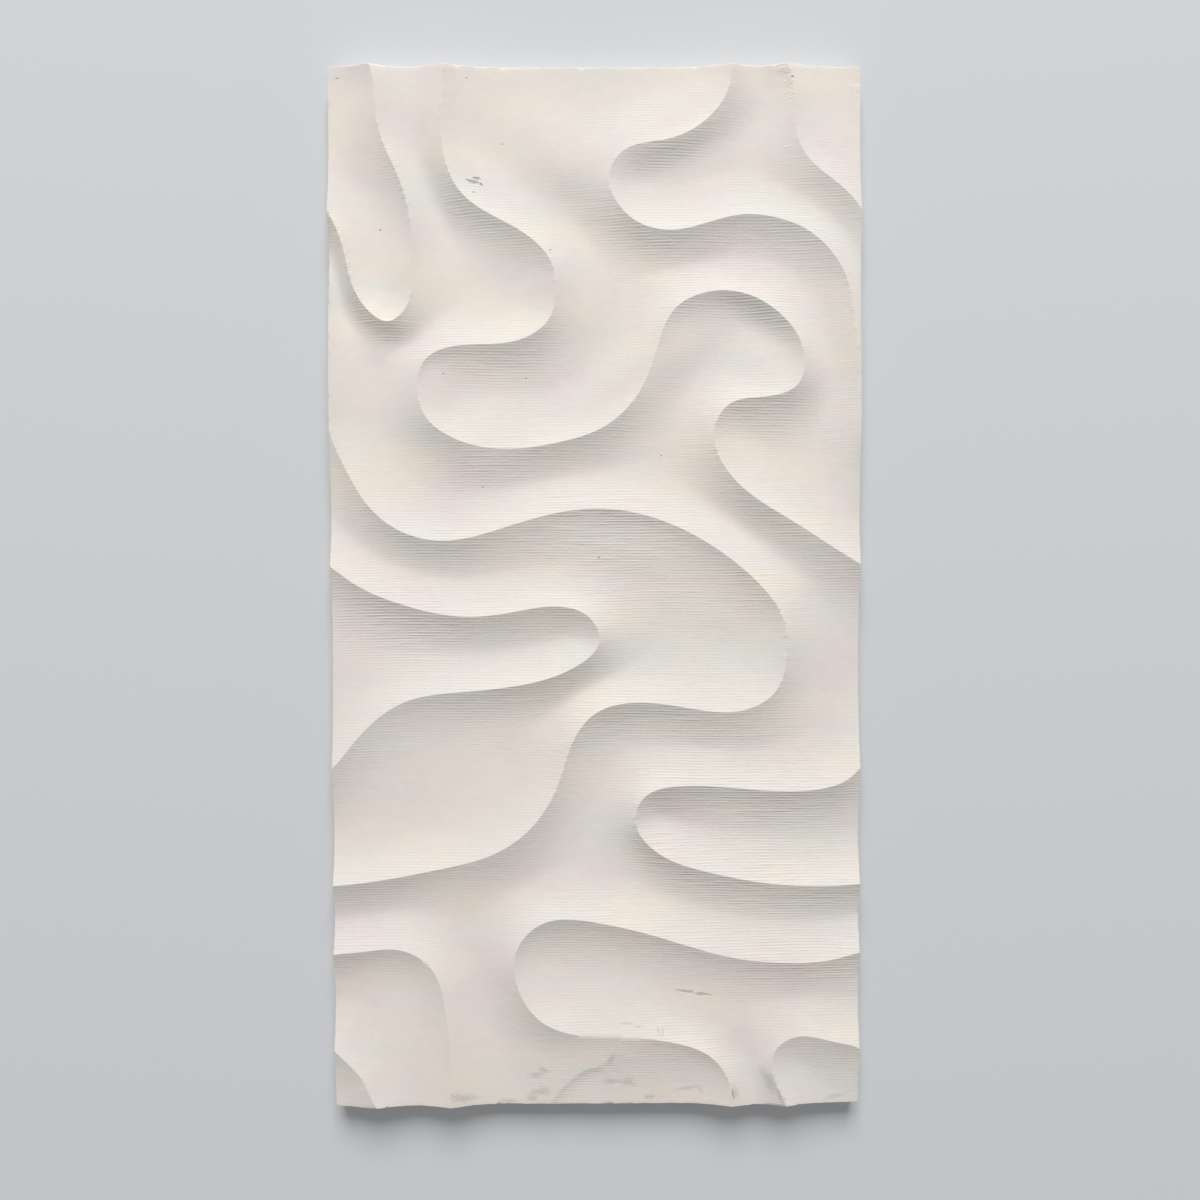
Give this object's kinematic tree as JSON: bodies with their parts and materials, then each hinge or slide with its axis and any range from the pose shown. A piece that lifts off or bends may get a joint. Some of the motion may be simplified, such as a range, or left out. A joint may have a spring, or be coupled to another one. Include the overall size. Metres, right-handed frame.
{
  "type": "3d wall panel tile",
  "caption": "Flat rectangular stone wall tile, its face carved with winding wave crests and smooth hollows between them.",
  "frame": {"origin": "middle of the flat back face", "axes": "+Z out of the carved face, +Y along the long side, +X along the short side, to the right when the carved face is seen with +Y up"},
  "size_m": [0.305, 0.6, 0.02],
  "materials": {
    "stone": "natural pale limestone, machine carved and left matt, with fine tool lines across the tile and small pores"
  },
  "bodies": {
    "root": {"panel_tile": "stone"}
  },
  "joints": []
}
